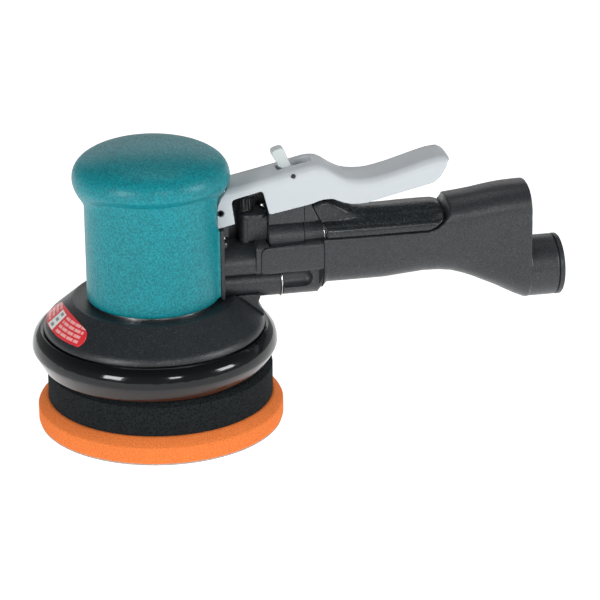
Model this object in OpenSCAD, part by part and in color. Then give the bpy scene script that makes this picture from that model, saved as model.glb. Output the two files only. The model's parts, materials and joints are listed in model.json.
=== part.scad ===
// Two-handed pneumatic random orbital sander with a dust shroud.
// Origin: motor axis at the working face of the pad. +Z up, +X along the handle to the hose end.

/* [Pad] */
// Radius of the foam pad at its working face
pad_r = 63.5; // [62:0.1:65]
// Offset of the pad axis from the motor axis
orbit = 2.4; // [1:0.1:2.5]
// Thickness of the hook layer
hook_t = 1.0; // [0.6:0.1:1.5]
// Height of the boundary between the soft face foam and the firm foam
face_top_z = 13.8; // [12:0.1:15]
// Height of the vertical side of the face foam
face_edge_z = 9.0; // [7:0.5:11]
// Radius of the firm foam
firm_r = 58.1; // [56:0.1:59]
// Height of the ridge round the firm foam
firm_ridge_z = 29.5; // [28:0.1:30]
// Top of the firm foam
firm_top_z = 31.8; // [31:0.1:32]
// Number of dust holes in the pad
dust_holes = 5; // [5:1:6]
// Radius of each dust hole
dust_hole_r = 5; // [4:0.1:6]
// Radius of the circle the dust holes lie on
dust_circle_r = 35; // [32:0.5:38]

/* [Head] */
// Radius of the grip round the motor
head_r = 34.2; // [34:0.1:34.6]
// Lower edge of the grip
head_z0 = 67.1; // [66.9:0.1:67.4]
// Crease under the palm cap at the sides
crease_z = 126.4; // [126:0.1:126.8]
// Largest radius of the palm cap
knob_r = 39.9; // [39.6:0.1:40]
// Height of the palm cap's widest point
knob_z = 131.5; // [131:0.1:132]
// Top of the palm cap
knob_top_z = 148.1; // [147.5:0.1:149]
// Inner radius of the motor housing
motor_bore_r = 29; // [28.8:0.1:29.2]

/* [Shroud] */
// Radius of the shelf edge at the top of the shroud
shelf_r = 41.8; // [40:0.1:43]
// Height of the shelf edge
shelf_z = 66.8; // [66:0.1:67]
// Radius at the foot of the shroud's cone
cone_r = 56.7; // [56:0.1:57]
// Height of the groove between the shroud and the skirt
groove_z = 51.3; // [51:0.1:52]
// Largest radius of the skirt
skirt_r = 63; // [62:0.1:63.5]
// Lower lip of the skirt
skirt_z0 = 32.7; // [32.5:0.1:33.2]

/* [Handle] */
// Height of the centre of the front exhaust tube
low_tube_z = 70; // [69.5:0.1:70.5]
// Radius of the front exhaust tube
low_tube_r = 8; // [7.5:0.1:8.2]
// Height of the centre of the round air housing
air_tube_z = 93.5; // [93.3:0.1:93.6]
// Radius of the round air housing
air_tube_r = 9.8; // [9.7:0.1:9.9]
// Height of the long seam under the top grip
seam_z = 94.9; // [94:0.1:95.5]
// Half width of the handle at the hand position
grip_w = 15.2; // [14.5:0.1:15.8]
// Height of the centre of the hose outlet
outlet_z = 66; // [65.5:0.1:66.5]
// Outer radius of the hose outlet
outlet_r = 16; // [15.8:0.1:16.2]
// Inner radius of the hose outlet
outlet_bore_r = 13; // [12.5:0.1:13.2]
// End of the hose outlet
outlet_x = 215; // [213:0.5:217]
// Rear face of the upper block
rear_x = 196.3; // [195:0.1:197]
// Height of the air inlet's centre
inlet_z = 98; // [97:0.1:99]
// Radius of the air inlet's thread bore
inlet_thread_r = 5.7; // [5.6:0.1:6.2]

/* [Lever and valve] */
// Position of the lever's pivot along the handle
pivot_x = 33.2; // [33:0.1:33.5]
// Height of the lever's pivot
pivot_z = 112.6; // [112.3:0.1:112.9]
// Half width of the lever
lever_w = 12; // [12:0.1:12.4]
// Wall of the lever
lever_t = 2; // [1.8:0.1:2.1]
// Position of the lock-off lever's pin along the handle
lock_x = 70.9; // [70.5:0.1:71.5]
// Height of the lock-off lever's pin
lock_z = 129.4; // [129:0.1:129.6]
// Thickness of the lock-off lever
lock_t = 6.4; // [6:0.1:6.6]
// Position of the throttle valve's axis along the handle
valve_x = 47.9; // [47.7:0.1:48]
// Radius of the speed dial
dial_r = 4.9; // [4.5:0.1:5.1]

/* [Hidden] */
$fn = 96;

teal = [0.09, 0.56, 0.57];
black = [0.09, 0.09, 0.1];
dark = [0.2, 0.2, 0.22];
gloss = [0.03, 0.03, 0.035];
pale = [0.82, 0.85, 0.87];
orange = [0.95, 0.5, 0.2];
steel = [0.62, 0.63, 0.65];
brass = [0.8, 0.65, 0.35];
red = [0.85, 0.15, 0.18];
felt = [0.75, 0.75, 0.72];

gap = 0.15;
run = 0.05;
plate_r = 50;
plate_z0 = firm_top_z;
plate_z1 = plate_z0 + 2.4;
hub_r = 13;
hub_z = 40;
stud_r = 4;
hook_r = pad_r - 0.5;
shaft_r = 6;
shaft_top_r = 5;
brg_w = 6;
brg_in_gap = 2.1;
brg_out_gap = 2.2;
spin_r = 5;
spin_brg_r = 11;
spin_brg1_z = 43.5;
spin_brg2_z = 50;
cup_r = 13.5;
cup_z0 = 42.6;
cup_top_z = 56.4;
weight_r = 30;
weight_z0 = 50;
weight_z1 = 60;
motor_r = motor_bore_r - run;
lock_ring_z0 = 61.5;
lower_plate_z0 = 67;
cyl_z0 = 74;
cyl_z1 = 108;
upper_plate_z1 = 115.8;
housing_top_z = 116;
bore_r = 23.5;
bore_off = 2.4;
rotor_r = 20.6;
vane_n = 5;
vane_t = 2;
vane_in_r = 11;
lower_brg_r = 12;
upper_brg_r = 11;
spigot_r = 31.5;
pocket_x = 30.6;
pocket_w = 13.4;
flange_x = 32.6;
flange_w = 14.4;
flange_t = 1.8;
flange_top_z = 104;
flange_z0 = 66.9;
passage_z = 97;
passage_r = 3.6;
lever_open_z = 100;
lever_round = 4.5;

// linear interpolation of v over x, both sorted lists
function pick(x, xs, vs) = lookup(x, [for (i = [0:len(xs) - 1]) [xs[i], vs[i]]]);

// signed power, for squarish ovals
function spow(v, e) = v < 0 ? -pow(-v, e) : pow(v, e);

// cross-section of the handle: an oval with separate top and bottom heights
function oval(w, zb, zt, hb, ht, n, m) = [for (i = [0:m - 1])
    let (a = 360 * i / m, e = 2 / n, s = spow(sin(a), e))
    [w * spow(cos(a), e), s < 0 ? zb + hb + hb * s : zt - ht + ht * s]];

// points of an outline's corner b, rounded between its neighbours a and c
function corner(a, b, c, r) = r == 0 ? [b] : let (u = (a - b) / norm(a - b), v = (c - b) / norm(c - b),
    h = acos(u * v) / 2, o = b + (u + v) / norm(u + v) * r / sin(h), p = b + u * r / tan(h) - o,
    q = b + v * r / tan(h) - o, a0 = atan2(p[1], p[0]), a1 = atan2(q[1], q[0]))
    [for (i = [0:5]) let (t = a0 + ((a1 - a0 + 540) % 360 - 180) * i / 5) o + r * [cos(t), sin(t)]];

// outline with each corner rounded to its own radius
function rounded(pts, radii) = let (n = len(pts))
    [for (i = [0:n - 1]) each corner(pts[(i + n - 1) % n], pts[i], pts[(i + 1) % n], radii[i])];

// skin through closed YZ sections at the stations xs
module skin(xs, secs) {
    m = len(secs[0]);
    n = len(xs);
    pts = [for (k = [0:n - 1]) for (p = secs[k]) [xs[k], p[0], p[1]]];
    sides = [for (k = [0:n - 2]) for (i = [0:m - 1]) for (t = [0:1])
        let (a = k * m + i, b = k * m + (i + 1) % m, c = a + m, d = b + m)
        t == 0 ? [a, c, b] : [b, c, d]];
    caps = [[for (i = [0:m - 1]) i], [for (i = [m - 1:-1:0]) (n - 1) * m + i]];
    polyhedron(points = pts, faces = concat(sides, caps), convexity = 6);
}

// prism across the handle from an XZ outline
module side_prism(outline, w) {
    rotate([90, 0, 0])
        linear_extrude(2 * w, center = true)
            polygon(outline);
}

// cylinder across the handle
module cross_pin(x, z, r, w) {
    translate([x, 0, z])
        rotate([90, 0, 0])
            cylinder(r = r, h = 2 * w, center = true);
}

// cylinder along the handle
module tube_x(x0, x1, z, r) {
    translate([x0, 0, z])
        rotate([0, 90, 0])
            cylinder(r = r, h = x1 - x0);
}

// cylinder between two points of the handle's centre plane
module slant_tube(x0, z0, x1, z1, r) {
    translate([x0, 0, z0])
        rotate([0, 90 - atan2(z1 - z0, x1 - x0), 0])
            cylinder(r = r, h = norm([x1 - x0, z1 - z0]));
}

// copies round the pad axis
module dust_ring() {
    for (i = [0:dust_holes - 1])
        translate([orbit, 0, 0])
            rotate(36 + i * 360 / dust_holes)
                translate([dust_circle_r, 0, 0])
                    children();
}

// bearing ring
module ring(r0, r1, z0, z1) {
    translate([0, 0, z0])
        difference() {
            cylinder(r = r1, h = z1 - z0);
            translate([0, 0, -1])
                cylinder(r = r0, h = z1 - z0 + 2);
        }
}

knob_steps = 72;
crease_dip = 8.2;
dome_exp = 2.45;
dome_rise_exp = 2.3;

// height of the crease under the palm cap: lower in line with the handle
function crease_at(a) = crease_z - crease_dip * pow(abs(cos(a)), 6.5);

function smooth(u) = u * u * (3 - 2 * u);

// outline of the grip in the radial plane at angle a, from the lower edge to near the top
function grip_outline(a) = let (zc = crease_at(a), k = 0.62 + 0.1 * (crease_z - zc) / crease_dip)
    concat([[head_r - 0.7, head_z0], [head_r, head_z0 + 0.8], [head_r, 90], [head_r, 112],
        [head_r, zc - 1.2], [head_r + 0.06, zc - 0.4]],
    [for (i = [0:8]) let (u = i / 8)
        [head_r + 0.15 + (knob_r - head_r - 0.15) * smooth(pow(u, k)), zc + (knob_z - zc) * u]],
    [for (i = [1:12]) let (t = 7.2 * i)
        [knob_r * pow(cos(t), 2 / dome_exp),
            knob_z + (knob_top_z - knob_z) * pow(sin(t), 2 / dome_rise_exp)]]);

// closed skin round the motor axis
module head_skin() {
    rows = len(grip_outline(0));
    pts = concat([for (i = [0:knob_steps - 1]) let (a = 360 * i / knob_steps)
        for (p = grip_outline(a)) [p[0] * cos(a), p[0] * sin(a), p[1]]],
        [[0, 0, head_z0], [0, 0, knob_top_z]]);
    foot = knob_steps * rows;
    sides = [for (i = [0:knob_steps - 1]) for (j = [0:rows - 2]) for (t = [0:1])
        let (a = i * rows + j, b = ((i + 1) % knob_steps) * rows + j)
        t == 0 ? [a, a + 1, b] : [b, a + 1, b + 1]];
    ends = [for (i = [0:knob_steps - 1]) for (t = [0:1])
        let (a = i * rows, b = ((i + 1) % knob_steps) * rows)
        t == 0 ? [a, b, foot] : [a + rows - 1, foot + 1, b + rows - 1]];
    polyhedron(points = pts, faces = concat(sides, ends), convexity = 6);
}

module palm_grip() {
    color(teal)
        difference() {
            union() {
                head_skin();
                difference() {
                    union() {
                        translate([20, -flange_w, head_z0 + 1])
                            cube([flange_x - 20, 2 * flange_w, flange_top_z - head_z0 - 1]);
                        intersection() {
                            translate([24, -13, head_z0 - 4.1])
                                cube([flange_x - 24, 26, 17]);
                            tube_x(24, flange_x, low_tube_z + 0.4, 10);
                        }
                    }
                    translate([0, 0, 50])
                        cylinder(r = head_r - 1, h = 60);
                }
            }
            translate([0, 0, head_z0 - 8])
                cylinder(r = spigot_r + run, h = housing_top_z + 4 - head_z0 + 8 + run);
            translate([0, 0, housing_top_z])
                cylinder(r1 = spigot_r - 2, r2 = 22, h = 24);
            translate([flange_x, -flange_w - 1, head_z0 - 6])
                cube([10, 2 * flange_w + 2, flange_top_z - head_z0 + 6]);
            translate([pocket_x, -pocket_w, flange_top_z - run])
                cube([6, 2 * pocket_w, 14.5]);
            tube_x(20, 36, low_tube_z + 1, 5.5);
            tube_x(20, 36, 84, 2.5);
            housing_screw_holes(1.6);
        }
}

// pair of holes for the screws that hold the handle
module housing_screw_holes(r) {
    for (s = [-1, 1])
        translate([20, s * 9.5, 95])
            rotate([0, 90, 0])
                cylinder(r = r, h = 20);
}

module motor_housing() {
    color(steel)
        difference() {
            translate([0, 0, lock_ring_z0 - 0.3])
                cylinder(r = spigot_r, h = housing_top_z + 4 - lock_ring_z0 + 0.3);
            translate([0, 0, lock_ring_z0 - 1])
                cylinder(r = motor_bore_r, h = housing_top_z - lock_ring_z0 + 1);
            translate([0, 0, housing_top_z - 1])
                cylinder(r = 14, h = 9);
            translate([pocket_x - 0.05, -20, flange_top_z - 1])
                cube([6, 40, 30]);
            tube_x(20, 36, low_tube_z + 1, 5.5);
            tube_x(20, 36, 84, 2.5);
            housing_screw_holes(1.6);
        }
}

module motor_cylinder() {
    color(steel)
        difference() {
            translate([0, 0, cyl_z0])
                cylinder(r = motor_r, h = cyl_z1 - cyl_z0);
            translate([0, bore_off, cyl_z0 - 1])
                cylinder(r = bore_r, h = cyl_z1 - cyl_z0 + 2);
            tube_x(10, 36, 84, 2.5);
            for (z = [94, 98, 102])
                translate([-30, 0, z])
                    rotate([0, 90, 0])
                        cylinder(r = 1.5, h = 20);
            dowels(1.52);
        }
}

module dowels(r) {
    for (s = [-1, 1])
        rotate(s * 40 - 90)
            translate([27, 0, lower_plate_z0 + 3])
                cylinder(r = r, h = upper_plate_z1 - lower_plate_z0 - 6);
}

module dowel_pins() {
    color(steel)
        dowels(1.5);
}

module upper_end_plate() {
    color(steel)
        difference() {
            translate([0, 0, cyl_z1])
                cylinder(r = motor_r, h = upper_plate_z1 - cyl_z1);
            translate([0, 0, cyl_z1 - 1])
                cylinder(r = 8, h = 10);
            translate([0, 0, cyl_z1 + 1.4])
                cylinder(r = upper_brg_r, h = 10);
            dowels(1.52);
        }
}

module lower_end_plate() {
    color(steel)
        difference() {
            translate([0, 0, lower_plate_z0])
                cylinder(r = motor_r, h = cyl_z0 - lower_plate_z0);
            translate([0, 0, lower_plate_z0 - 1])
                cylinder(r = 9, h = 10);
            translate([0, 0, lower_plate_z0 - 1])
                cylinder(r = lower_brg_r, h = brg_w + 1);
            dowels(1.52);
        }
}

module lock_ring() {
    color(steel)
        difference() {
            ring(10.5, motor_r, lock_ring_z0, lower_plate_z0);
            for (i = [0:3])
                rotate(45 + 90 * i)
                    translate([20, 0, lock_ring_z0 - 1])
                        cylinder(r = 2, h = 4);
        }
}

module upper_bearing_outer() {
    color(steel)
        ring(shaft_top_r + brg_out_gap, upper_brg_r, cyl_z1 + 1.4, cyl_z1 + 1.4 + brg_w);
}

module upper_bearing_inner() {
    color(steel)
        ring(shaft_top_r, shaft_top_r + brg_in_gap, cyl_z1 + 1.4, cyl_z1 + 1.4 + brg_w);
}

module lower_bearing_outer() {
    color(steel)
        ring(shaft_r + brg_out_gap, lower_brg_r, lower_plate_z0, lower_plate_z0 + brg_w);
}

module lower_bearing_inner() {
    color(steel)
        ring(shaft_r, shaft_r + brg_in_gap, lower_plate_z0, lower_plate_z0 + brg_w);
}

module rotor() {
    color(steel)
        difference() {
            ring(shaft_r, rotor_r, cyl_z0 + 0.3, cyl_z1 - 0.3);
            for (i = [0:vane_n - 1])
                rotate(18 + i * 360 / vane_n)
                    translate([vane_in_r, -vane_t / 2 - run, cyl_z0])
                        cube([20, vane_t + 2 * run, cyl_z1 - cyl_z0]);
            translate([shaft_r - 1, -1, cyl_z0])
                cube([2.5, 2, cyl_z1 - cyl_z0]);
        }
}

module rotor_vanes() {
    color(dark)
        for (i = [0:vane_n - 1])
            rotate(18 + i * 360 / vane_n)
                translate([vane_in_r + 0.2, -vane_t / 2, cyl_z0 + 0.4])
                    cube([rotor_r - vane_in_r - 0.3, vane_t, cyl_z1 - cyl_z0 - 0.8]);
}

module rotor_key() {
    color(steel)
        translate([shaft_r - 1, -1, 84])
            cube([2.4, 2, 14]);
}

module eccentric_shaft() {
    color(steel)
        difference() {
            union() {
                translate([orbit, 0, cup_z0])
                    cylinder(r = cup_r, h = weight_z1 - cup_z0);
                difference() {
                    translate([0, 0, weight_z0])
                        cylinder(r = weight_r, h = weight_z1 - weight_z0);
                    translate([-4, -weight_r - 1, weight_z0 - 1])
                        cube([2 * weight_r, 2 * weight_r + 2, weight_z1 - weight_z0 + 2]);
                }
                translate([0, 0, weight_z1 - 1])
                    cylinder(r = 9, h = lower_plate_z0 - weight_z1 + 1);
                translate([0, 0, weight_z1])
                    cylinder(r = shaft_r, h = cyl_z1 + 0.9 - weight_z1);
                translate([0, 0, cyl_z1])
                    cylinder(r = shaft_top_r, h = upper_plate_z1 - cyl_z1 - 0.4);
            }
            translate([orbit, 0, cup_z0 - 1])
                cylinder(r = spin_brg_r, h = cup_top_z - cup_z0 + 1);
            translate([orbit, 0, cup_top_z - 1])
                cylinder(r = 7.5, h = 2.4);
            translate([shaft_r - 1, -1, 84])
                cube([2, 2, 14]);
        }
}

module spindle_bearing_outer() {
    color(steel)
        translate([orbit, 0, 0])
            for (z = [spin_brg1_z, spin_brg2_z])
                ring(spin_r + brg_out_gap, spin_brg_r, z, z + brg_w);
}

module spindle_bearing_inner() {
    color(steel)
        translate([orbit, 0, 0])
            for (z = [spin_brg1_z, spin_brg2_z])
                ring(spin_r, spin_r + brg_in_gap, z, z + brg_w + (z == spin_brg1_z ? 0.5 : 0));
}

module spindle() {
    color(steel)
        translate([orbit, 0, 0])
            difference() {
                union() {
                    translate([0, 0, plate_z1 - 0.6])
                        cylinder(r = stud_r, h = 10);
                    translate([0, 0, hub_z])
                        cylinder(r = 9.5, h = 2.2, $fn = 6);
                    translate([0, 0, hub_z])
                        cylinder(r = 6.5, h = spin_brg1_z - hub_z);
                    translate([0, 0, hub_z])
                        cylinder(r = spin_r, h = spin_brg2_z + brg_w - 0.3 - hub_z);
                }
                translate([0, 0, 49])
                    cylinder(r = 2, h = 10);
            }
}

module spindle_screw() {
    color(steel)
        translate([orbit, 0, 0]) {
            translate([0, 0, 49.2])
                cylinder(r = 2, h = spin_brg2_z + brg_w - 49.2);
            translate([0, 0, spin_brg2_z + brg_w])
                cylinder(r = 6.4, h = 0.9);
        }
}

module pad_plate() {
    color(dark)
        difference() {
            union() {
                translate([orbit, 0, plate_z0])
                    cylinder(r = plate_r, h = plate_z1 - plate_z0);
                translate([orbit, 0, plate_z0])
                    cylinder(r = hub_r, h = hub_z - plate_z0);
            }
            translate([orbit, 0, plate_z1 - 0.6])
                cylinder(r = stud_r, h = 20);
            dust_ring()
                translate([0, 0, plate_z0 - 1])
                    cylinder(r = dust_hole_r, h = 20);
            rivet_ring()
                translate([0, 0, plate_z0 - 1])
                    cylinder(r = 1.8, h = 20);
        }
}

module rivet_ring() {
    for (i = [0:4])
        translate([orbit, 0, 0])
            rotate(i * 72)
                translate([22, 0, 0])
                    children();
}

module pad_rivets() {
    color(steel)
        rivet_ring() {
            translate([0, 0, plate_z0])
                cylinder(r = 1.8, h = plate_z1 - plate_z0 + 0.5);
            translate([0, 0, plate_z1])
                cylinder(r = 3.2, h = 1);
        }
}

module pad_firm_foam() {
    color(black)
        difference() {
            translate([orbit, 0, 0])
                rotate_extrude()
                    polygon([[0, face_top_z], [firm_r, face_top_z], [firm_r, firm_ridge_z],
                        [firm_r - 0.9, firm_ridge_z + 0.5], [firm_r - 2.4, firm_top_z - 0.7],
                        [firm_r - 3.6, firm_top_z], [0, firm_top_z]]);
            dust_ring()
                translate([0, 0, face_top_z - 1])
                    cylinder(r = dust_hole_r, h = 30);
        }
}

module pad_face_foam() {
    color(orange)
        difference() {
            translate([orbit, 0, 0])
                rotate_extrude()
                    polygon([[0, hook_t], [pad_r - 0.3, hook_t], [pad_r, hook_t + 1],
                        [pad_r, face_edge_z], [pad_r - 0.5, face_edge_z + 1],
                        [pad_r - 2.2, face_edge_z + 2.6], [firm_r + 1.2, face_top_z - 0.3],
                        [firm_r + 0.2, face_top_z], [0, face_top_z]]);
            dust_ring()
                translate([0, 0, -1])
                    cylinder(r = dust_hole_r, h = 30);
        }
}

module hook_face() {
    color(felt)
        difference() {
            translate([orbit, 0, 0])
                cylinder(r = hook_r, h = hook_t);
            dust_ring()
                translate([0, 0, -1])
                    cylinder(r = dust_hole_r + 0.5, h = 5);
        }
}

duct_w = 9;
duct_bore_x = 46.5;
duct_outline = [[37, 44], [37, 66], [54, 66], [54, 65], [53.6, 63.6], [53, 62.2], [52.9, 61], [53.4, 59.6],
    [54.6, 57.8], [55.8, 56.4], [55.8, 53.6], [54, 53.6], [54, 44]];

function shroud_outer() = [[spigot_r + run, shelf_z - 0.7], [38.6, shelf_z - 0.7],
    [shelf_r - 1.6, shelf_z], [shelf_r - 0.6, shelf_z], [shelf_r + 0.2, shelf_z - 0.4],
    [cone_r - 1.9, groove_z + 4.1], [cone_r - 0.7, groove_z + 2.7], [cone_r, groove_z + 1],
    [cone_r, groove_z]];

module dust_shroud() {
    color(black)
        difference() {
            rotate_extrude()
                polygon(concat(shroud_outer(), [[cone_r - 1.3, groove_z - 0.4],
                    [cone_r - 1.3, groove_z - 5.5], [cone_r - 3.3, groove_z - 5.5],
                    [cone_r - 3.3, groove_z + 2.2], [shelf_r - 1.2, shelf_z - 2.9],
                    [spigot_r + run, shelf_z - 2.9]]));
            tube_x(24, 60, low_tube_z + 0.4, 10 + gap);
            translate([duct_bore_x, 0, 40])
                cylinder(r = 5, h = 40);
            shroud_screw_ring()
                translate([0, 0, 50])
                    cylinder(r = 1.4, h = 15);
        }
}

module shroud_screw_ring() {
    for (a = [90, 180, 270])
        rotate(a)
            translate([35, 0, 0])
                children();
}

module shroud_screws() {
    color(steel)
        shroud_screw_ring() {
            translate([0, 0, 62])
                cylinder(r = 1.4, h = 2.9);
            translate([0, 0, 62.2])
                cylinder(r = 2.6, h = 1.7);
        }
}

module skirt_ring() {
    color(gloss)
        rotate_extrude()
            polygon([[cone_r - 1.3 + run, groove_z - 0.7], [cone_r + 0.4, groove_z - 0.5],
                [cone_r + 1.6, groove_z - 0.2], [cone_r + 2.6, groove_z - 0.9],
                [skirt_r - 2, groove_z - 2.4], [skirt_r - 0.8, groove_z - 4.4],
                [skirt_r - 0.1, groove_z - 7.2], [skirt_r, groove_z - 9.2],
                [skirt_r - 0.4, groove_z - 10.4], [cone_r + 1.6, skirt_z0 + 0.3],
                [cone_r + 1, skirt_z0], [cone_r + 0.2, skirt_z0 + 0.3],
                [skirt_r - 2.3, groove_z - 9.8], [skirt_r - 2.1, groove_z - 7],
                [skirt_r - 3.2, groove_z - 4.2], [cone_r + 1.6, groove_z - 2.4],
                [cone_r - 1.3 + run, groove_z - 2.6]]);
}

module shroud_duct() {
    color(black)
        difference() {
            side_prism(duct_outline, duct_w);
            rotate_extrude()
                polygon(concat([[0, shelf_z - 0.7]], [for (p = shroud_outer()) [p[0] + 0.02, p[1] + 0.02]],
                    [[cone_r + 0.02, groove_z - 20], [0, groove_z - 20]]));
            tube_x(30, 60, low_tube_z, low_tube_r + 0.02);
            tube_x(24, flange_x + run, low_tube_z + 0.4, 10 + gap);
            translate([duct_bore_x, 0, 40])
                cylinder(r = 5, h = 40);
        }
}

label_a = -170;
label_half = 12.5;
label_h = 13;
label_drop = 1.7;
label_slope = atan2(groove_z + 4.1 - (shelf_z - 0.4), cone_r - 1.9 - shelf_r - 0.2);
label_round = 6;

module label_plate() {
    color(red)
        intersection() {
            rotate_extrude()
                polygon([[shelf_r + 0.22, shelf_z - 0.38], [shelf_r + 0.52, shelf_z - 0.02],
                    [cone_r - 1.58, groove_z + 4.46], [cone_r - 1.88, groove_z + 4.12]]);
            rotate(label_a)
                translate([(shelf_r + cone_r - 1.6) / 2, 0, (shelf_z + groove_z + 4) / 2])
                    rotate([0, -label_slope, 0])
                        translate([label_drop, 0, -10])
                            linear_extrude(20)
                                union() {
                                    square([label_h, 4 * label_half - 2 * label_round], center = true);
                                    square([label_h - 2 * label_round, 4 * label_half], center = true);
                                    for (i = [-1, 1])
                                        for (j = [-1, 1])
                                            translate([i * (label_h / 2 - label_round),
                                                j * (2 * label_half - label_round)])
                                                circle(r = label_round);
                                }
        }
}

core_n = 5;
core_m = 32;
core_x1 = 86;

// boxy handle section with rounded corners between two stations
module core(x0, x1, w0, w1, zb0, zb1, zt) {
    skin([x0, x1], [oval(w0, zb0, zt, (zt - zb0) / 2, (zt - zb0) / 2, core_n, core_m),
        oval(w1, zb1, zt, (zt - zb1) / 2, (zt - zb1) / 2, core_n, core_m)]);
}

// exhaust passage from the motor to the hose outlet
module exhaust_path() {
    tube_x(20, 62, low_tube_z + 1, 5.5);
    slant_tube(60, low_tube_z + 1, 100, 77, 5.5);
    slant_tube(99, 77, 160, 78, 6);
    slant_tube(158, 78, 200, outlet_z, 7.5);
}

joint_ring_x = 65.1;
joint_ring_depth = 0.4;
block_x0 = 66;
block_x1 = 84.3;
block_w = 11;
block_z = 71;
block_drop = 8.57;
slot_r = 4.7;
slot_y = 11.8;
slot_z = 73.6;
slot_x1 = 76.3;
tab_x0 = 51;
shoulder_w = 13.9;
panel_w = 14.7;
panel_groove = 0.4;
head_seat_x = flange_x + run + flange_t;

// raised panel on the side of the front block
function panel_outline(g) = rounded([[53.7 - g, 70], [53.7 - g, 92.3 + g], [76.9, 93.4 + g],
    [77.1, 94.2 + g], [core_x1, 94.6 + g], [core_x1, 70]], [0, 3 + g, 0, 0, 0, 0]);

// rim beside the panel's front corner
rim_outline = rounded([[tab_x0, 77.3], [tab_x0, 94.3], [57.8, 94.3], [57.8, 77.3]], [0, 2.4, 1, 0]);

module handle_front() {
    color(dark)
        difference() {
            union() {
                translate([flange_x + run, -flange_w, flange_z0])
                    cube([flange_t, 2 * flange_w, flange_top_z - flange_z0]);
                skin([head_seat_x - 0.1, tab_x0 + 0.1],
                    [for (i = [0:1]) oval(shoulder_w, 77.5, 93, 2.5, 13, 2.2, core_m)]);
                core(tab_x0, core_x1, 13.7, 13.8, 77.2, 77.2, 91.7);
                difference() {
                    intersection() {
                        core(tab_x0 - 1, 60, 14.3, 14.3, 77.1, 77.1, 94.8);
                        side_prism(rim_outline, 20);
                    }
                    side_prism(panel_outline(panel_groove), 20);
                }
                intersection() {
                    core(53, core_x1, panel_w, panel_w, 77, 77, seam_z);
                    side_prism(panel_outline(0), 20);
                }
                skin([block_x0, block_x1], [for (i = [0:1])
                    oval(block_w, block_z - block_drop, 88, block_drop, 3, 2, core_m)]);
                skin([block_x1 - 0.1, core_x1], [oval(block_w, block_z - block_drop, 88, block_drop, 3, 2,
                    core_m), oval(13.9, 64.9, 88, 13, 3, 2, core_m)]);
                tube_x(flange_x + run, 70, low_tube_z, low_tube_r);
                tube_x(flange_x + run, flange_x + 3, low_tube_z, low_tube_r + 1.6);
            }
            exhaust_path();
            for (s = [-1, 1])
                translate([block_x0 - 0.1, s * slot_y, slot_z]) {
                    rotate([0, 90, 0])
                        cylinder(r = slot_r, h = slot_x1 - block_x0 + 0.1);
                    translate([slot_x1 - block_x0 + 0.1, 0, 0])
                        sphere(r = slot_r);
                }
            translate([joint_ring_x - 0.1, 0, low_tube_z])
                rotate([0, 90, 0])
                    ring(low_tube_r - joint_ring_depth, low_tube_r + 1, 0, 0.85);
            tube_x(57.9, wedge_x1 + 0.1, air_tube_z, air_tube_r + 0.5);
            tube_x(60, 100, air_tube_z, air_tube_r + run);
            translate([cage_x, 0, cage_z0 - run])
                cylinder(r = cage_r + run, h = 10);
            translate([valve_x, -cage_block_w - run, cage_z0 - run])
                cube([20, 2 * (cage_block_w + run), 10]);
            tube_x(20, 50, 84, 2.5);
            translate([valve_x, 0, 84])
                cylinder(r = 2.5, h = 20);
            for (s = [-1, 1])
                translate([20, s * 9.5, 95])
                    rotate([0, 90, 0])
                        cylinder(r = 1.6, h = 15);
        }
}

module handle_screws() {
    color(steel)
        for (s = [-1, 1])
            translate([28.4, s * 9.5, 95])
                rotate([0, 90, 0])
                    union() {
                        cylinder(r = 1.6, h = head_seat_x - 28.4 + 0.1);
                        translate([0, 0, head_seat_x - 28.4])
                            cylinder(r1 = 2.9, r2 = 2.3, h = 1.9);
                    }
}

module exhaust_joint_ring() {
    color(steel)
        translate([joint_ring_x, 0, low_tube_z])
            rotate([0, 90, 0])
                ring(low_tube_r - joint_ring_depth + run, low_tube_r + 0.9, 0, 0.7);
}

wedge_w = 8.8;
wedge_x0 = 58.7;
wedge_x1 = 76.9;
wedge_z0 = 103.7;

module inlet_housing() {
    color(dark)
        difference() {
            union() {
                tube_x(wedge_x0 + 0.5, wedge_x1, air_tube_z, air_tube_r);
                tube_x(wedge_x0, wedge_x0 + 2, air_tube_z, air_tube_r - 0.7);
                side_prism([[wedge_x0 + 0.5, passage_z], [wedge_x0 + 0.5, 109],
                    [wedge_x1, 112.4], [wedge_x1, passage_z]], wedge_w - 3.8);
                side_prism([[wedge_x0, wedge_z0], [wedge_x0, 108.9],
                    [wedge_x1, 112.4], [wedge_x1, wedge_z0]], wedge_w);
            }
            tube_x(50, 100, passage_z, passage_r);
            translate([hood_x, 0, hood_z0 - 3.5])
                cylinder(r = hood_r + gap, h = 12);
        }
}

adapter_x1 = 87.8;

module grip_adapter() {
    color(dark)
        difference() {
            union() {
                tube_x(wedge_x1 + 0.3, adapter_x1, air_tube_z, air_tube_r);
                side_prism([[wedge_x1 + 0.3, passage_z], [wedge_x1 + 0.3, 112.4],
                    [79.6, 112.8], [83.2, 105.8], [84.2, 104], [84.2, passage_z]], wedge_w - 3.8);
                side_prism([[wedge_x1 + 0.3, wedge_z0], [wedge_x1 + 0.3, 112.45],
                    [80.5, 113.1], [81.2, 111.4], [84.7, 104.2], [84.9, wedge_z0]], wedge_w);
            }
            tube_x(70, 100, passage_z, passage_r);
            translate([adapter_x1 - 0.7, 0, air_tube_z])
                rotate([0, 90, 0])
                    ring(air_tube_r - joint_ring_depth, air_tube_r + 1, 0, 1);
        }
}

module inlet_joint_ring() {
    color(steel)
        translate([adapter_x1 - 0.65, 0, air_tube_z])
            rotate([0, 90, 0])
                ring(air_tube_r - joint_ring_depth + run, air_tube_r + 0.15, 0, 0.6);
}

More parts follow.
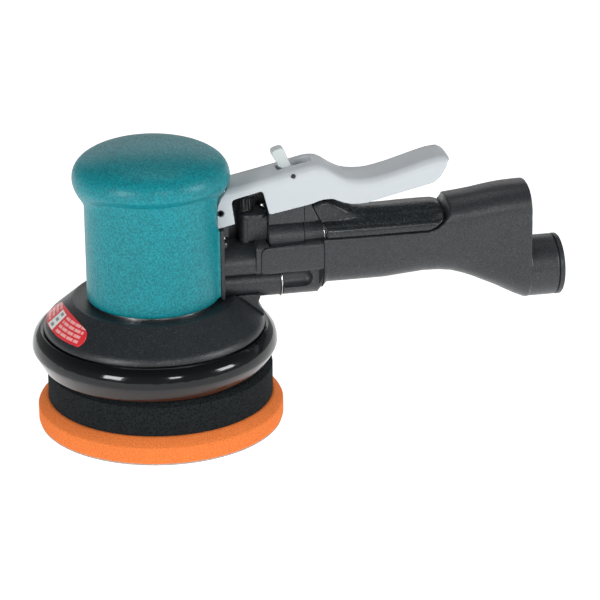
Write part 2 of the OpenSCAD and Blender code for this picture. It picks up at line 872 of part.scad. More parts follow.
cover_xs = [86.1, 88.4, 95, 102, 110, 120, 130, 140, 148, 155, 161, 167, 173, 179, 185, 190,
    193.5, rear_x];
cover_zb = [64.7, 68, 68, 68, 68, 68.1, 69, 69.8, 69.6, 68.7, 66.8, 64.4, 61.5, 58.7, 55.4,
    52.7, 51.1, 50.1];
cover_zt = [104, 104, 104, 104, 104, 105, 106, 108, 109, 109.8, 110.4, 111.1, 112.1, 113,
    113.6, 113.8, 113.9, 113.9];
cover_m = 64;
sleeve_x0 = 195;

function cover_w(x) = pick(x, [86, 95, 120, 140, 160, 180, 196.3],
    [14.8, 15.1, grip_w, grip_w, grip_w, 15.5, 15.9]);

// widens the rear end around the outlet tube and narrows it just above the tube
function cover_swell(x, z) = 1 + pick(x, [160, 172, 184, 196.3], [0, 0.25, 0.75, 1])
    * (0.12 * exp(-pow((z - outlet_z) / 9, 2))
        - 0.23 * exp(-pow((z - 84 + 0.22 * (rear_x - x)) / 5.5, 2)));

function cover_sec(i) = let (w = cover_w(cover_xs[i]), x = cover_xs[i])
    [for (p = oval(w, cover_zb[i], cover_zt[i], w - 1.2, w - 1, 2.25, cover_m))
        [p[0] * cover_swell(x, p[1]), p[1]]];

recess_outline = [[70, 130], [70, seam_z], [140.4, seam_z], [143.1, seam_z + 0.4], [145.9, 96.4],
    [148.9, 98.6], [151.3, 101.2], [152.9, 104], [153.1, 107], [152.1, 109.4], [150.5, 111.6],
    [149.5, 130]];

module rear_cover() {
    color(dark)
        difference() {
            union() {
                difference() {
                    skin(cover_xs, [for (i = [0:len(cover_xs) - 1]) cover_sec(i)]);
                    side_prism(recess_outline, 30);
                }
                tube_x(sleeve_x0 - 0.4, outlet_x - 3, outlet_z, outlet_r);
            }
            exhaust_path();
            tube_x(sleeve_x0, 220, outlet_z, outlet_bore_r + 1.2);
            tube_x(132, 148, 77.6, 6.9);
            slant_tube(80, passage_z - 0.09, 183, inlet_z, 3.2);
            tube_x(181.9, 200, inlet_z, 8.5);
            tube_x(80, adapter_x1 + gap, air_tube_z, air_tube_r + 0.25);
        }
}

grip_xs = [80.6, 82.5, 85.3, 88.5, 92, 96, 100, 104.5, 110, 120, 130, 138, 143, 146.6, 149.2, 150.9];
grip_zt = [113, 114.2, 115.2, 115.6, 114.6, 112, 109.4, 107.8, 107, 107, 107.3, 107.4, 107.4,
    107.3, 106.6, 105.6];

// half outline of the top grip: a narrow upper lobe on a wide lower one
function grip_half(x, zt) = let (k = pick(x, [80, 92, 104, 152], [7.6, 8.6, 9.2, 9.2]),
    b = seam_z + gap, w = cover_w(x) + 0.1, m = 102.9)
    [[w - 1.3, b], [w - 0.3, b + 1.1], [w, b + 2.8], [w - 0.4, b + 4.4], [w - 1.6, b + 5.9],
        [w - 3.6, b + 7], [k + 0.9, m], [k + 0.1, max(m + 0.7, zt - 3.6)], [k - 0.9, zt - 2.1],
        [k - 2.6, zt - 1], [k - 5, zt - 0.3], [1.6, zt]];

function grip_sec(x, zt) = let (h = grip_half(x, zt), n = len(h))
    concat(h, [for (i = [n - 1:-1:0]) [-h[i][0], h[i][1]]]);

module top_grip() {
    color(gloss)
        difference() {
            intersection() {
                skin(grip_xs, [for (i = [0:len(grip_xs) - 1]) grip_sec(grip_xs[i], grip_zt[i])]);
                side_prism(concat([[adapter_x1 + gap, seam_z - 1], [adapter_x1 + gap, 99],
                    [87.2, 101.2], [84.9, 104.2], [81.4, 111.4], [80.5, 120]],
                    [[151, 130], [151.3, 105], [149.6, 101.5], [147.2, 98.9], [144.2, 96.7],
                    [141.5, seam_z + 0.6], [139, seam_z + gap]]), 30);
            }
            slant_tube(80, passage_z - 0.09, 183, inlet_z, 3.2);
            tube_x(70, adapter_x1 + 0.1, air_tube_z, air_tube_r + 0.25);
        }
}

module exhaust_sleeve() {
    color(black)
        difference() {
            union() {
                tube_x(sleeve_x0 + 0.2, outlet_x - 2.9, outlet_z, outlet_bore_r + 1.15);
                tube_x(outlet_x - 2.95, outlet_x - 2.5, outlet_z, outlet_r - 0.5);
                tube_x(outlet_x - 2.55, outlet_x - 0.4, outlet_z, outlet_r + 0.1);
                tube_x(outlet_x - 0.5, outlet_x, outlet_z, outlet_r - 0.3);
            }
            tube_x(180, 230, outlet_z, outlet_bore_r);
        }
}

module muffler_felt() {
    color(felt)
        difference() {
            tube_x(132.2, 147.8, 77.6, 6.8);
            tube_x(120, 160, 77.6, 5.2);
        }
}

screen_r = 5;

module inlet_bushing() {
    color(brass)
        difference() {
            tube_x(182.2, rear_x - 0.4, inlet_z, 8.45);
            tube_x(186, 210, inlet_z, inlet_thread_r);
            tube_x(184.7, 187, inlet_z, screen_r + run);
            tube_x(180, 187, inlet_z, 3.2);
        }
}

module inlet_screen() {
    color(steel)
        difference() {
            tube_x(184.75, 185.9, inlet_z, screen_r);
            tube_x(180, 190, inlet_z, 0.8);
            for (a = [0:60:300])
                translate([180, 0, inlet_z])
                    rotate([a, 0, 0])
                        translate([0, 3, 0])
                            rotate([0, 90, 0])
                                cylinder(r = 0.8, h = 10);
        }
}

module air_pipe() {
    color(steel)
        difference() {
            slant_tube(88.2, passage_z, 182, inlet_z - 0.05, 3.1);
            slant_tube(80, passage_z - 0.1, 190, inlet_z, 2.2);
        }
}

cage_x = valve_x + 0.6;
cage_r = 4;
cage_block_w = 4.4;
cage_z0 = 92.6;
cage_z1 = 106.7;
valve_bore_r = 2.7;
spring_seat_z = 98;

module valve_cage() {
    color(dark)
        difference() {
            union() {
                translate([cage_x, 0, cage_z0])
                    cylinder(r = cage_r, h = cage_z1 - cage_z0);
                translate([cage_x, -cage_block_w, cage_z0 + 1.4])
                    cube([58.5 - cage_x, 2 * cage_block_w, cage_z1 - cage_z0 - 1.4]);
            }
            translate([valve_x, 0, spring_seat_z])
                cylinder(r = valve_bore_r, h = 20);
            translate([valve_x, 0, cage_z0 - 1])
                cylinder(r = 1.7, h = 10);
            tube_x(valve_x, 60, passage_z + 2.4, 1.8);
        }
}

hood_x = 51.2;
hood_z0 = cage_z1;
hood_r = 8.3;
hood_rim = 1.2;
hood_top_z = 110.8;
guard_y = 7;
guard_t = 1.4;
guard_outline = [[38.8, 91.6], [38.8, 111.6], [63, 116.4], [63, 109.9], [58.4, 109.1],
    [57.6, 109.05], [57.6, 104], [58.4, 104], [58.4, 94.4], [50.7, 94.4], [50.7, 91.6]];

// domed hood over the valve, with a plate that closes the far side of the lever's window
module valve_hood() {
    color(dark)
        difference() {
            union() {
                translate([hood_x, 0, hood_z0])
                    rotate_extrude()
                        polygon(concat([[0, 0], [hood_r, 0]], [for (t = [0:15:90])
                            [hood_r * cos(t), hood_rim + (hood_top_z - hood_z0 - hood_rim) * sin(t)]]));
                translate([valve_x, 0, hood_z0])
                    cylinder(r = dial_r - 0.6, h = dial_z0 - gap - hood_z0);
                translate([0, guard_y + guard_t / 2, 0])
                    side_prism(guard_outline, guard_t / 2);
            }
            translate([valve_x, 0, hood_z0 - 1])
                cylinder(r = 2.2, h = 10);
        }
}

dial_z0 = hood_top_z + 0.2;
dial_z1 = dial_z0 + 6.6;

module speed_dial() {
    color(black)
        difference() {
            union() {
                translate([valve_x, 0, dial_z0])
                    cylinder(r = dial_r - 0.35, h = dial_z1 - dial_z0);
                for (i = [0:19])
                    rotate_about_valve(i * 18)
                        translate([dial_r - 0.4, -0.4, dial_z0])
                            cube([0.5, 0.8, dial_z1 - dial_z0 - 0.8]);
            }
            translate([valve_x, 0, dial_z0 - 1])
                cylinder(r = 2.25, h = 20);
        }
}

module rotate_about_valve(a) {
    translate([valve_x, 0, 0])
        rotate(a)
            children();
}

stem_top_z = 122.4;

module valve_stem() {
    color(steel)
        union() {
            translate([valve_x, 0, spring_z1 + 0.2])
                cylinder(r = 2.1, h = stem_top_z - 2.1 - spring_z1 - 0.2);
            translate([valve_x, 0, stem_top_z - 2.1])
                sphere(r = 2.1);
            translate([valve_x, 0, 99.6])
                cylinder(r = 1.2, h = 6);
            translate([valve_x, 0, spring_z1 + run])
                cylinder(r = valve_bore_r - 0.1, h = 1.1);
        }
}

module valve_seal() {
    color(black)
        translate([valve_x, 0, 0])
            ring(2.1, valve_bore_r - 0.1, spring_z1 + 1.2, cage_z1 - 0.1);
}

spring_turns = 4;
spring_r = 2;
spring_wire = 0.35;
spring_z0 = spring_seat_z + run;
spring_z1 = 104.15;

function coil_ring(t) = let (a = 360 * t, z = spring_z0 + spring_wire
    + (spring_z1 - spring_z0 - 2 * spring_wire) * t / spring_turns)
    [for (j = [0:5]) let (b = 60 * j, r = spring_r + spring_wire * cos(b))
        [valve_x + r * cos(a), r * sin(a), z + spring_wire * sin(b)]];

module valve_spring() {
    n = spring_turns * 14;
    rings = [for (i = [0:n]) coil_ring(i / 14)];
    sides = [for (k = [0:n - 1]) for (j = [0:5]) for (t = [0:1])
        let (a = k * 6 + j, b = k * 6 + (j + 1) % 6)
        t == 0 ? [a, b, a + 6] : [b, b + 6, a + 6]];
    color(steel)
        polyhedron(points = [for (r = rings) for (p = r) p],
            faces = concat(sides, [[5, 4, 3, 2, 1, 0]], [[for (j = [0:5]) n * 6 + j]]), convexity = 8);
}

bracket_w = lever_w - lever_t - 0.3;

module lever_bracket() {
    color(dark)
        difference() {
            union() {
                cross_pin(pivot_x, pivot_z, 2.45, bracket_w);
                side_prism([[pivot_x - 2.3, flange_top_z + 0.1], [pivot_x - 2.4, pivot_z],
                    [pivot_x + 2.4, pivot_z], [37.6, 104], [37.6, 98.8], [34.5, 98.8],
                    [34.5, flange_top_z + 0.1]], bracket_w);
            }
            cross_pin(pivot_x, pivot_z, 1.75, 20);
            translate([20, -6.3, 106])
                cube([30, 12.6, 20]);
        }
}

module lever_pin() {
    color(steel)
        difference() {
            cross_pin(pivot_x, pivot_z, 1.75, lever_w - 0.3);
            cross_pin(pivot_x, pivot_z, 1.05, 20);
        }
}

lever_xs = [30, 38.4, 46, 55.1, 64.7, 72.6, 79, 82.6, 85.6, 88.4, 91, 93.8, 98.3, 102, 105.9,
    110, 113.4, 118, 123.5, 131, 138.7, 145, 150, 152.4, 153.9];
lever_zt = [124.2, 125.6, 127.1, 129, 131.1, 133, 134.4, 134.8, 134.5, 133.3, 131.5, 129.6,
    127.2, 126.2, 125.7, 125.6, 125.9, 126.8, 128.1, 130.3, 132.6, 134.2, 134.6, 133.4, 130.4];

function lever_sec(w, zt, r) = let (z0 = lever_open_z)
    concat([[-w, z0], [w, z0], [w, zt - r - 0.5]],
    [for (i = [1:4]) let (a = 22.5 * i) [w - r + r * cos(a), zt - r - 0.5 + r * sin(a)]],
    [[(w - r) / 2, zt - 0.12], [0, zt], [-(w - r) / 2, zt - 0.12]],
    [for (i = [4:-1:1]) let (a = 22.5 * i) [-w + r - r * cos(a), zt - r - 0.5 + r * sin(a)]],
    [[-w, zt - r - 0.5]]);

lever_outline = [[31.6, 104.3], [31.5, 114.3], [31.8, 117], [32.5, 118.6], [33.1, 120.5], [34, 123],
    [35.4, 125], [35.6, 140], [160, 140], [160, 131.5], [151.6, 131.2], [150.6, 128.6], [149.3, 126],
    [147.3, 122.9], [144.3, 120.4], [134.3, 118.1], [119.2, 114.6], [109.2, 112.3], [105.5, 112],
    [101.7, 112.2], [97.6, 113.1], [94.2, 114.5], [91.8, 115.6], [89.2, 116], [86.6, 115.9],
    [84.2, 115.3], [80.6, 114.1], [76.2, 113.2], [59, 110], [58.2, 110.4], [55.4, 121.4],
    [54.6, 122.5], [53.4, 122.6], [40.2, 119.4], [39.3, 118.6], [39.1, 117.4], [40.6, 106.4]];

lever_in = lever_w - lever_t;
slot_w = lock_t + 0.7;
cap_gap = 0.45;

module throttle_lever() {
    color(pale)
        difference() {
            intersection() {
                skin(lever_xs, [for (i = [0:len(lever_xs) - 1])
                    lever_sec(lever_w, lever_zt[i], lever_round)]);
                side_prism(lever_outline, 20);
            }
            difference() {
                skin([for (i = [0:len(lever_xs) - 1]) i == 0 ? 28 : i == len(lever_xs) - 1 ? 150.6 :
                    i == len(lever_xs) - 2 ? 150 : i == len(lever_xs) - 3 ? 148.6 : lever_xs[i]],
                    [for (i = [0:len(lever_xs) - 1])
                    lever_sec(lever_in, (i > len(lever_xs) - 4 ? 132.2 - (i - len(lever_xs) + 3) * 1.3
                        : lever_zt[i] - lever_t - 0.2), lever_round - lever_t)]);
                translate([valve_x, 0, 122.55])
                    cylinder(r = 3.4, h = 20);
                for (s = [-1, 1])
                    translate([62.5, s * (slot_w / 2 + 0.9) - 0.9, 122.5])
                        cube([20.6, 1.8, 20]);
                translate([81.7, -slot_w / 2 - 0.5, 124])
                    cube([1.4, slot_w + 1, 20]);
            }
            rotate_extrude()
                polygon(concat([[0, 118.3], [head_r + cap_gap, 118.3]],
                    [for (q = grip_outline(12)) if (q[1] > 118.3 && q[1] < 140) [q[0] + cap_gap, q[1]]],
                    [[0, 140]]));
            cross_pin(pivot_x, pivot_z, 1.75 + run, 30);
            cross_pin(lock_x, lock_z, 1.02, 30);
            cross_pin(lock_x, lock_z, 2.3, 7.2);
            translate([64.3, -slot_w / 2, 122])
                cube([17.4, slot_w, 20]);
        }
}

module lock_pin() {
    color(steel)
        cross_pin(lock_x, lock_z, 1, lever_w - 0.2);
}

module lock_spring() {
    color(steel)
        translate([lock_x, 0, lock_z])
            rotate([90, 0, 0])
                for (i = [0:2])
                    translate([0, 0, 4.2 + 0.9 * i])
                        rotate_extrude()
                            translate([1.6, 0])
                                circle(r = 0.47, $fn = 24);
}

lock_outline = [[-2.2, -1.2], [-1.6, -12.2], [-0.6, -12.9], [0.8, -12.9], [1.6, -12.2], [2.9, -0.6],
    [2.8, 1.2], [0.4, 3.2], [-2.5, 10.8], [-3.1, 11.9], [-4.1, 12.5], [-5.4, 12.5], [-8, 11.7],
    [-9.1, 10.9], [-9.4, 9.8], [-9, 8.5], [-6.4, 4.2], [-6.1, 3], [-3.4, 0.9]];

module lock_off_lever() {
    color(pale)
        difference() {
            translate([lock_x, 0, lock_z])
                side_prism(lock_outline, lock_t / 2);
            cross_pin(lock_x, lock_z, 1 + run, 20);
        }
}

palm_grip();
motor_housing();
motor_cylinder();
upper_end_plate();
lower_end_plate();
lock_ring();
dowel_pins();
upper_bearing_outer();
lower_bearing_outer();
dust_shroud();
skirt_ring();
shroud_duct();
shroud_screws();
label_plate();
handle_front();
exhaust_joint_ring();
inlet_housing();
grip_adapter();
inlet_joint_ring();
rear_cover();
top_grip();
exhaust_sleeve();
muffler_felt();
inlet_bushing();
inlet_screen();
air_pipe();
valve_cage();
valve_hood();
valve_spring();
lever_bracket();
lever_pin();
handle_screws();
rotor();
rotor_vanes();
eccentric_shaft();
rotor_key();
upper_bearing_inner();
lower_bearing_inner();
spindle_bearing_outer();
spindle();
spindle_bearing_inner();
spindle_screw();
pad_plate();
pad_rivets();
pad_firm_foam();
pad_face_foam();
hook_face();
throttle_lever();
lock_pin();
lock_spring();
lock_off_lever();
valve_stem();
valve_seal();
speed_dial();
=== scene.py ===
import json
import math

import bpy
from mathutils import Matrix, Vector

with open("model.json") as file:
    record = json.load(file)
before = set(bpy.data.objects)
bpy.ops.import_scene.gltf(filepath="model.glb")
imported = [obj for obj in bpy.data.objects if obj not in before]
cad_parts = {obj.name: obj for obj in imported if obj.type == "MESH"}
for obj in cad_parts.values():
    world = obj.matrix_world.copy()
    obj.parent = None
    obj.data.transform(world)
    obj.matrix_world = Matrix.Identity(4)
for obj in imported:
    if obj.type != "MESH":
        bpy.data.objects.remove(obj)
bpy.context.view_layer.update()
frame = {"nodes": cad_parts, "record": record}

MM = 0.001
SCENE = bpy.context.scene
SCENE.view_settings.view_transform = "Standard"

NODES = frame["nodes"]
WHITE = (1, 1, 1, 1)

# how far apart, in millimetres, doubled corners are still joined
WELD_GAP = 0.002
# radius in millimetres and least angle of the edges that are rounded on crisp parts
EDGE_RADIUS = 0.25
SHARP_ANGLE = math.radians(32)


# ---------------------------------------------------------------- camera, light and floor

def add_camera():
    """A long lens, a little to the left of the handle's side and 22 degrees up."""
    azimuth, elevation, roll = math.radians(-12), math.radians(22.16), math.radians(-0.27)
    target, distance = Vector((0.07641, 0, 0.05715)), 1.3839
    film_width, focal_length = 36, 160.1
    back = Vector((math.sin(azimuth) * math.cos(elevation), -math.cos(azimuth) * math.cos(elevation),
                   math.sin(elevation)))
    level = Vector((math.cos(azimuth), math.sin(azimuth), 0))
    upright = back.cross(level)
    right = math.cos(roll) * level + math.sin(roll) * upright
    up = -math.sin(roll) * level + math.cos(roll) * upright
    camera = bpy.data.objects.new("camera", bpy.data.cameras.new("camera"))
    camera.data.sensor_width = film_width
    camera.data.lens = focal_length
    turn = Matrix((right, up, back)).transposed().to_4x4()
    camera.matrix_world = Matrix.Translation(target + distance * back) @ turn
    SCENE.collection.objects.link(camera)
    SCENE.camera = camera


def area_light(name, place, aim, size, watts):
    """A rectangular softbox of a given size in metres, turned towards a point."""
    lamp = bpy.data.lights.new(name, "AREA")
    lamp.shape = "RECTANGLE"
    lamp.size, lamp.size_y = size
    lamp.energy = watts
    light = bpy.data.objects.new(name, lamp)
    light.location = place
    light.rotation_mode = "QUATERNION"
    light.rotation_quaternion = (Vector(aim) - Vector(place)).to_track_quat("-Z", "Y")
    SCENE.collection.objects.link(light)


def add_lights():
    """Softboxes low in front, so that upright faces are bright and level ones dark."""
    middle = (0.03, 0, 0.08)
    area_light("left_box", (-1.05, -0.95, 0.5), middle, (0.42, 0.42), 10)
    area_light("front_box", (0.25, -1.6, 0.75), middle, (0.3, 0.3), 5)
    area_light("right_box", (1.25, -0.75, 0.55), middle, (0.42, 0.42), 9)
    area_light("overhead", (0.1, 0.25, 1.4), middle, (0.9, 0.7), 2.5)
    area_light("back_box", (0.2, 1.4, 0.7), middle, (1.6, 0.6), 3)


def add_room():
    """A pale room that darkens towards its ceiling, behind a white backdrop."""
    room_strength, ceiling = 0.36, 0.15
    world = bpy.data.worlds.new("studio")
    world.use_nodes = True
    tree = world.node_tree
    room = tree.nodes["Background"]
    room.inputs["Strength"].default_value = room_strength
    direction = tree.nodes.new("ShaderNodeSeparateXYZ")
    tree.links.new(tree.nodes.new("ShaderNodeTexCoord").outputs["Generated"], direction.inputs[0])
    height = tree.nodes.new("ShaderNodeMapRange")
    for key, value in (("From Min", 0.0), ("From Max", 1.0), ("To Min", 1.0), ("To Max", ceiling)):
        height.inputs[key].default_value = value
    tree.links.new(direction.outputs["Z"], height.inputs["Value"])
    tree.links.new(height.outputs[0], room.inputs["Color"])
    backdrop = tree.nodes.new("ShaderNodeBackground")
    backdrop.inputs["Color"].default_value = WHITE
    backdrop.inputs["Strength"].default_value = 1.0
    rays = tree.nodes.new("ShaderNodeLightPath")
    mix = tree.nodes.new("ShaderNodeMixShader")
    tree.links.new(rays.outputs["Is Camera Ray"], mix.inputs["Fac"])
    tree.links.new(room.outputs[0], mix.inputs[1])
    tree.links.new(backdrop.outputs[0], mix.inputs[2])
    tree.links.new(mix.outputs[0], tree.nodes["World Output"].inputs["Surface"])
    SCENE.world = world


def add_floor():
    """A sheet of white paper, glowing a little so that no shadow darkens it."""
    half, drop, glow = 4.0, 0.0002, 0.78
    mesh = bpy.data.meshes.new("floor")
    mesh.from_pydata([(-half, -half, 0), (half, -half, 0), (half, half, 0), (-half, half, 0)], [],
                     [(0, 1, 2, 3)])
    floor = bpy.data.objects.new("floor", mesh)
    floor.location.z = -drop
    SCENE.collection.objects.link(floor)
    paper = Shader("paper", (0.8, 0.8, 0.8), 0.9, specular=0.0)
    paper.surface.inputs["Emission Color"].default_value = WHITE
    paper.surface.inputs["Emission Strength"].default_value = glow
    mesh.materials.append(paper.material)


# ---------------------------------------------------------------- materials

class Shader:
    """A Principled material with its grain, mottle and bump worked out in object space, in metres."""

    def __init__(self, name, colour, roughness, metallic=0.0, specular=0.5, coat=0.0, coat_roughness=0.1):
        self.material = bpy.data.materials.new(name)
        self.material.use_nodes = True
        self.tree = self.material.node_tree
        self.surface = self.tree.nodes["Principled BSDF"]
        for key, value in (("Base Color", (*colour, 1)), ("Roughness", roughness), ("Metallic", metallic),
                           ("Specular IOR Level", specular), ("Coat Weight", coat),
                           ("Coat Roughness", coat_roughness)):
            self.surface.inputs[key].default_value = value
        self.place = self.tree.nodes.new("ShaderNodeTexCoord").outputs["Object"]

    def node(self, kind, **values):
        """A node with its inputs set by name, with _ for a space."""
        made = self.tree.nodes.new(kind)
        for key, value in values.items():
            made.inputs[key.replace("_", " ")].default_value = value
        return made

    def join(self, source, socket):
        self.tree.links.new(source, socket)

    def noise(self, size, detail=2.0, stretch=(1, 1, 1)):
        """Noise whose blotches are about size millimetres across."""
        scaled = self.node("ShaderNodeMapping", Scale=stretch)
        self.join(self.place, scaled.inputs["Vector"])
        made = self.node("ShaderNodeTexNoise", Scale=1 / (size * MM), Detail=detail)
        self.join(scaled.outputs[0], made.inputs["Vector"])
        return made.outputs["Fac"]

    def cells(self, size):
        """Distance to the nearest of a set of points about size millimetres apart."""
        made = self.node("ShaderNodeTexVoronoi", Scale=1 / (size * MM))
        self.join(self.place, made.inputs["Vector"])
        return made.outputs["Distance"]

    def ramp(self, factor, *stops):
        """Maps a factor through (place, value or colour) stops."""
        made = self.tree.nodes.new("ShaderNodeValToRGB")
        band = made.color_ramp
        while len(band.elements) < len(stops):
            band.elements.new(0.5)
        for element, (place, value) in zip(band.elements, stops):
            element.position = place
            element.color = (*value, 1) if isinstance(value, tuple) else (value, value, value, 1)
        self.join(factor, made.inputs["Fac"])
        return made.outputs["Color"]

    def blend(self, kind, factor, first, second):
        """Mixes two colours: factor, first and second are sockets or plain values."""
        made = self.tree.nodes.new("ShaderNodeMix")
        made.data_type = "RGBA"
        made.blend_type = kind
        for value, socket in ((factor, made.inputs[0]), (first, made.inputs[6]), (second, made.inputs[7])):
            if isinstance(value, bpy.types.NodeSocket):
                self.join(value, socket)
            else:
                socket.default_value = (*value, 1) if isinstance(value, tuple) else value
        return made.outputs[2]

    def calc(self, operation, *values):
        """One step of arithmetic on sockets or plain values."""
        made = self.tree.nodes.new("ShaderNodeMath")
        made.operation = operation
        for value, socket in zip(values, made.inputs):
            if isinstance(value, bpy.types.NodeSocket):
                self.join(value, socket)
            else:
                socket.default_value = value
        return made.outputs[0]

    def within(self, value, low, high):
        """1 where the value lies between low and high, and 0 elsewhere."""
        return self.both(self.calc("GREATER_THAN", value, low), self.calc("LESS_THAN", value, high))

    def both(self, first, second):
        return self.calc("MULTIPLY", first, second)

    def colour(self, socket):
        self.join(socket, self.surface.inputs["Base Color"])
        return self

    def rough(self, socket):
        self.join(socket, self.surface.inputs["Roughness"])
        return self

    def bump(self, *layers):
        """Bumps from (height socket, depth in millimetres) layers, finest last."""
        normal = None
        for height, depth in layers:
            made = self.node("ShaderNodeBump", Strength=1.0, Distance=depth * MM)
            self.join(height, made.inputs["Height"])
            if normal:
                self.join(normal, made.inputs["Normal"])
            normal = made.outputs["Normal"]
        self.join(normal, self.surface.inputs["Normal"])
        return self


def grained(name, colour, light, roughness, grain, depth, painted_glint=0.0, **more):
    """Plastic or rubber with a fine moulded grain: painted shade in the pits, painted light on the tips,
    painted glints as specks.
    """
    made = Shader(name, colour, roughness, **more)
    fine, broad, blotch = made.noise(grain, 3.0), made.noise(35.0), made.noise(grain * 3.5, 2.0)
    # painted shade in the grain's pits and painted light on its tips, following the same noise as the bump
    mottle_and_painted_light = made.ramp(fine, (0.36, colour), (0.68, light))
    mottle_and_painted_light = made.blend("MULTIPLY", 1.0, mottle_and_painted_light, made.ramp(broad, (0.3, 0.9), (0.7, 1.0)))
    mottle_and_painted_light = made.blend("MULTIPLY", 1.0, mottle_and_painted_light, made.ramp(blotch, (0.3, 0.86), (0.7, 1.0)))
    if painted_glint:
        # painted glints: bright bluish specks added to the colour
        bluish = (painted_glint * 0.85, painted_glint, painted_glint * 1.12)
        painted_glints = made.ramp(made.noise(grain * 0.8, 1.0), (0.6, (0.0, 0.0, 0.0)), (0.74, bluish))
        mottle_and_painted_light = made.blend("ADD", 1.0, mottle_and_painted_light, painted_glints)
    made.colour(mottle_and_painted_light)
    made.rough(made.ramp(fine, (0.3, roughness + 0.08), (0.7, roughness - 0.08)))
    return made.bump((blotch, depth * 0.6), (fine, depth))


def polished(name, colour, roughness, coat=0.2, waviness=0.01, specular=0.5):
    """Smooth plastic with a trace of orange peel and faint wear."""
    made = Shader(name, colour, roughness, specular=specular, coat=coat, coat_roughness=0.06)
    made.rough(made.ramp(made.noise(9.0, 4.0), (0.35, roughness), (0.75, roughness + 0.09)))
    return made.bump((made.noise(6.0), waviness), (made.noise(0.8), 0.002))


def foam(name, dark, light, pore, depth):
    """Open-cell foam: painted shade in the pores, between lighter walls."""
    made = Shader(name, light, 0.95, specular=0.15)
    pores, fuzz = made.cells(pore), made.noise(pore * 0.7, 3.0)
    # painted shade: the colour darkens towards the middle of each pore, where the bump is deepest
    painted_pore_shade = made.ramp(pores, (0.1, dark), (0.55, light))
    made.colour(made.blend("MULTIPLY", 0.7, painted_pore_shade, made.ramp(fuzz, (0.3, 0.6), (0.7, 1.0))))
    return made.bump((pores, depth), (fuzz, depth * 0.6))


def metal(name, colour, roughness, grain=0.5):
    """Turned or ground metal with fine tool marks."""
    made = Shader(name, colour, roughness, metallic=1.0)
    marks = made.noise(grain, 2.0, (0.15, 0.15, 1.0))
    made.rough(made.ramp(marks, (0.3, roughness - 0.05), (0.7, roughness + 0.1)))
    return made.bump((marks, 0.004))


def label_print():
    """Red film with a white panel and rows of plain pale bars, laid out by angle and height."""
    red, pink, white, grey = (0.75, 0.03, 0.04), (0.9, 0.42, 0.42), (0.8, 0.82, 0.8), (0.12, 0.14, 0.13)
    # angles in degrees from the middle of the print, and heights in millimetres
    middle = -168
    right_block, left_block, panel_span, mark_span = (0, 23), (-27, -15), (-12.2, -2.6), (-9.5, -5.3)
    panel_rise, first_row, row = (56.1, 63), 56.25, 1.75
    rows, bar_length, row_shift, gap = 4, 6.2, 0.37, 0.14

    made = Shader("label_print", red, 0.3, coat=0.3)
    turned = made.node("ShaderNodeMapping", Rotation=(0, 0, -math.radians(middle)))
    made.join(made.place, turned.inputs["Vector"])
    axes = made.tree.nodes.new("ShaderNodeSeparateXYZ")
    made.join(turned.outputs[0], axes.inputs[0])
    along, rise = made.calc("ARCTAN2", axes.outputs["Y"], axes.outputs["X"]), axes.outputs["Z"]

    def span(degrees):
        return made.within(along, *(math.radians(angle) for angle in degrees))

    lines = made.calc("DIVIDE", made.calc("SUBTRACT", rise, first_row * MM), row * MM)
    line = made.calc("FLOOR", lines)
    on_line = made.within(made.calc("FRACT", lines), 0.26, 0.84)
    shifted = made.calc("ADD", made.calc("DIVIDE", along, math.radians(bar_length)),
                        made.calc("MULTIPLY", line, row_shift))
    on_bar = made.both(on_line, made.calc("GREATER_THAN", made.calc("FRACT", shifted), gap))
    in_rows = made.within(line, -0.5, rows - 0.5)
    blocks = made.calc("ADD", made.both(span(right_block), in_rows), made.both(span(left_block), in_rows))
    bars = made.both(on_bar, blocks)
    panel = made.both(span(panel_span), made.within(rise, *(height * MM for height in panel_rise)))
    marks = made.both(span(mark_span),
                      made.within(made.calc("FRACT", made.calc("DIVIDE", lines, 1.3)), 0.25, 0.75))
    ink = made.blend("MIX", made.calc("MULTIPLY", marks, 0.8), white, grey)
    film = made.blend("MIX", bars, red, pink)
    made.colour(made.blend("MIX", panel, film, ink))
    return made


# the last number of a grained finish sets the brightness of its painted glints
TEAL = grained("teal_rubber", (0.002, 0.17, 0.205), (0.006, 0.3, 0.345), 0.4, 1.0, 0.09, specular=0.3)
SHROUD = grained("black_shroud", (0.007, 0.009, 0.011), (0.022, 0.027, 0.032), 0.38, 0.75, 0.14, 0.05)
GREY = grained("grey_composite", (0.012, 0.014, 0.017), (0.032, 0.036, 0.041), 0.38, 0.7, 0.1, 0.04)
VALVE = grained("valve_black", (0.008, 0.01, 0.012), (0.025, 0.028, 0.032), 0.4, 0.8, 0.05, 0.05)
SKIRT = polished("gloss_skirt", (0.003, 0.004, 0.005), 0.08, waviness=0.05, specular=0.3)
GRIP = grained("smooth_grip", (0.006, 0.008, 0.01), (0.016, 0.019, 0.022), 0.3, 1.0, 0.04, 0.05)
LEVER = polished("pale_lever", (0.48, 0.515, 0.54), 0.42, 0.1)
TAB = polished("lock_tab", (0.5, 0.55, 0.545), 0.42, 0.1)
ORANGE = foam("orange_foam", (0.7, 0.13, 0.03), (0.93, 0.25, 0.06), 0.55, 0.06)
BLACK_FOAM = foam("black_foam", (0.002, 0.002, 0.002), (0.014, 0.018, 0.02), 1.2, 0.5)
HOOK = foam("hook_fabric", (0.2, 0.17, 0.15), (0.55, 0.5, 0.46), 0.5, 0.2)
FELT = foam("white_felt", (0.45, 0.45, 0.42), (0.75, 0.75, 0.72), 0.6, 0.15)
STEEL = metal("motor_steel", (0.56, 0.57, 0.58), 0.3)
PIN = metal("pin_steel", (0.7, 0.71, 0.72), 0.22, 0.3)
DARK_PIN = metal("dark_pin", (0.05, 0.05, 0.055), 0.3, 0.3)
ALUMINIUM = metal("aluminium", (0.75, 0.76, 0.78), 0.3)
BRASS = metal("brass", (0.72, 0.52, 0.22), 0.25)
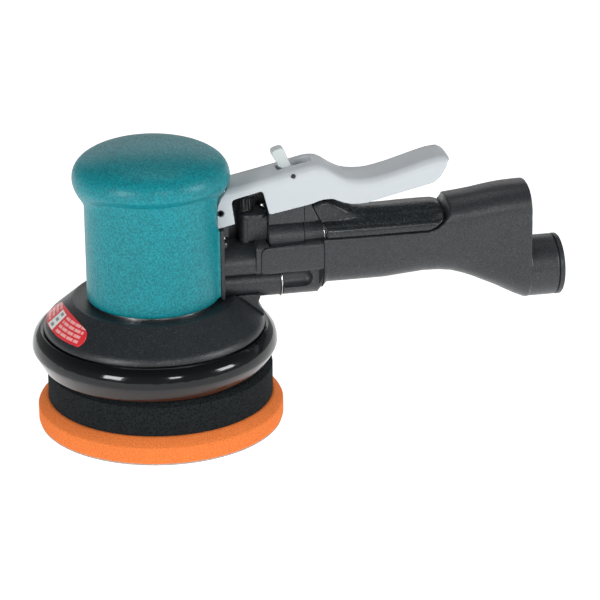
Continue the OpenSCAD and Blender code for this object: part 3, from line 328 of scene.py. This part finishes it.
VANE = grained("vane_composite", (0.2, 0.12, 0.06), (0.38, 0.25, 0.14), 0.6, 0.9, 0.03)
PLATE = grained("plate_composite", (0.015, 0.015, 0.017), (0.05, 0.05, 0.055), 0.5, 0.9, 0.05)
SEAL = Shader("seal_rubber", (0.012, 0.012, 0.012), 0.35)
SEAL.bump((SEAL.noise(0.5), 0.01))
LABEL = label_print()

FINISHES = {
    "teal_rubber": TEAL, "aluminium": ALUMINIUM, "motor_steel": STEEL, "pin_steel": PIN, "dark_pin": DARK_PIN,
    "black_shroud": SHROUD, "gloss_skirt": SKIRT, "red_label": LABEL, "grey_composite": GREY,
    "smooth_grip": GRIP, "white_felt": FELT, "brass": BRASS, "valve_black": VALVE, "vane_composite": VANE,
    "plate_composite": PLATE, "black_foam": BLACK_FOAM, "orange_foam": ORANGE, "hook_fabric": HOOK,
    "pale_lever": LEVER, "lock_tab": TAB, "seal_rubber": SEAL,
}


# ---------------------------------------------------------------- CAD nodes that stay

def paint(node, slot):
    """Gives a node its material and smooth faces, and joins its doubled corners."""
    part = NODES[node]
    mesh = part.data
    mesh.materials.clear()
    mesh.materials.append(FINISHES[slot].material)
    if "custom_normal" in mesh.attributes:
        mesh.attributes.remove(mesh.attributes["custom_normal"])
    mesh.polygons.foreach_set("use_smooth", [True] * len(mesh.polygons))
    weld = part.modifiers.new("weld", "WELD")
    weld.merge_threshold = WELD_GAP * MM
    return part


def machined(node, slot):
    """A crisp part, with its sharp edges rounded."""
    part = paint(node, slot)
    bevel = part.modifiers.new("bevel", "BEVEL")
    bevel.width = EDGE_RADIUS * MM
    bevel.segments = 2
    bevel.limit_method = "ANGLE"
    bevel.angle_limit = SHARP_ANGLE
    bevel.miter_outer = "MITER_ARC"
    level = part.modifiers.new("level", "WEIGHTED_NORMAL")
    level.keep_sharp = True


def moulded(node, slot, cell, passes):
    """A soft-edged moulding: remade in cells of a given size in millimetres, then smoothed."""
    part = paint(node, slot)
    remesh = part.modifiers.new("remesh", "REMESH")
    remesh.mode = "VOXEL"
    remesh.voxel_size = cell * MM
    remesh.use_smooth_shade = True
    smooth = part.modifiers.new("smooth", "SMOOTH")
    smooth.factor = 0.5
    smooth.iterations = passes


# cell size in millimetres and smoothing passes of the mouldings
MOULDINGS = {"palm_grip": (0.6, 6), "top_grip": (0.4, 10), "rear_cover": (0.55, 5),
             "throttle_lever": (0.4, 6), "lock_off_lever": (0.3, 12), "shroud_duct": (0.35, 4)}

for entry in frame["record"]["subparts"]:
    name, slot = entry["node"], entry["material_slot"]
    if name in MOULDINGS:
        moulded(name, slot, *MOULDINGS[name])
    else:
        machined(name, slot)

add_camera()
add_lights()
add_room()
add_floor()
